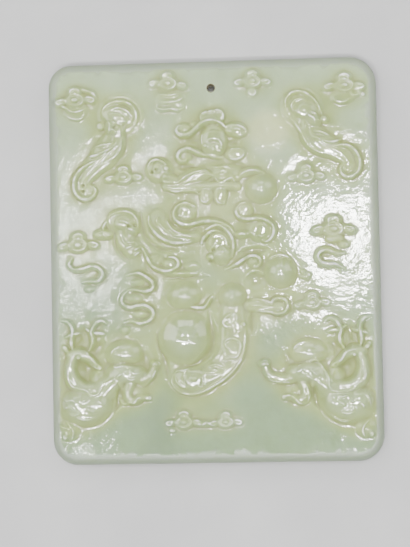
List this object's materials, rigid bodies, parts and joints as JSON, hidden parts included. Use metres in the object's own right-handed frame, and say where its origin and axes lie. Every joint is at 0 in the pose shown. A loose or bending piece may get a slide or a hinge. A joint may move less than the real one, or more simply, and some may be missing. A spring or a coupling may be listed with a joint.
{
  "type": "carved jade plaque pendant",
  "caption": "Rectangular jade pendant plaque with rounded corners, carved in relief with bats, clouds, pearls and deer, and drilled near the top for a cord.",
  "frame": {"origin": "middle of the flat underside, on the surface that the pendant lies on", "axes": "+Z out of the carved face, +Y towards the end with the cord hole, +X to the right when the carved face is seen with the hole at the top"},
  "size_m": [0.0616, 0.075, 0.0066],
  "materials": {
    "jade": "polished pale green nephrite"
  },
  "bodies": {
    "root": {"jade_plaque": "jade"}
  },
  "joints": []
}
